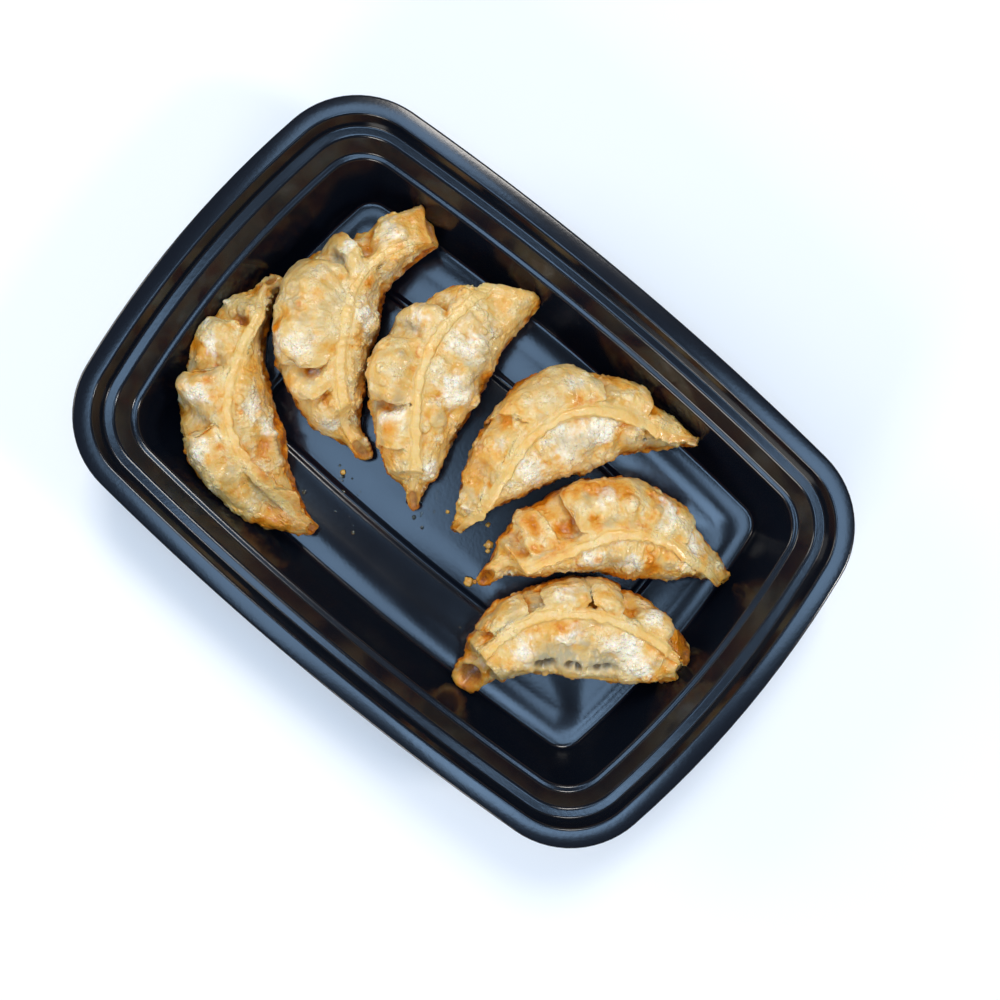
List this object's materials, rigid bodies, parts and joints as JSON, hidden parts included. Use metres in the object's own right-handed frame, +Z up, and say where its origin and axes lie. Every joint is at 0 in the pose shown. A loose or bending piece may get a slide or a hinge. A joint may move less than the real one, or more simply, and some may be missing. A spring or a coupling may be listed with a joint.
{
  "type": "gyoza dumplings in a takeaway tray",
  "caption": "Fried pleated gyoza dumplings lying fanned out in a black ledged takeaway tray with a flanged rim.",
  "frame": {"origin": "under the middle of the tray, on the surface that it stands on", "axes": "+X along the tray's length, +Y along its width, +Z up"},
  "size_m": [0.224, 0.154, 0.04],
  "materials": {
    "tray_plastic": "thin moulded polypropylene, semi-gloss black with blue-grey reflections",
    "fried_wrapper": "fried wheat dough, pale cream to golden with browned edges, blistered and lightly oiled"
  },
  "bodies": {
    "root": {"tray": "tray_plastic", "gyoza_1": "fried_wrapper", "gyoza_2": "fried_wrapper", "gyoza_3": "fried_wrapper", "gyoza_4": "fried_wrapper", "gyoza_5": "fried_wrapper", "gyoza_6": "fried_wrapper"}
  },
  "joints": []
}
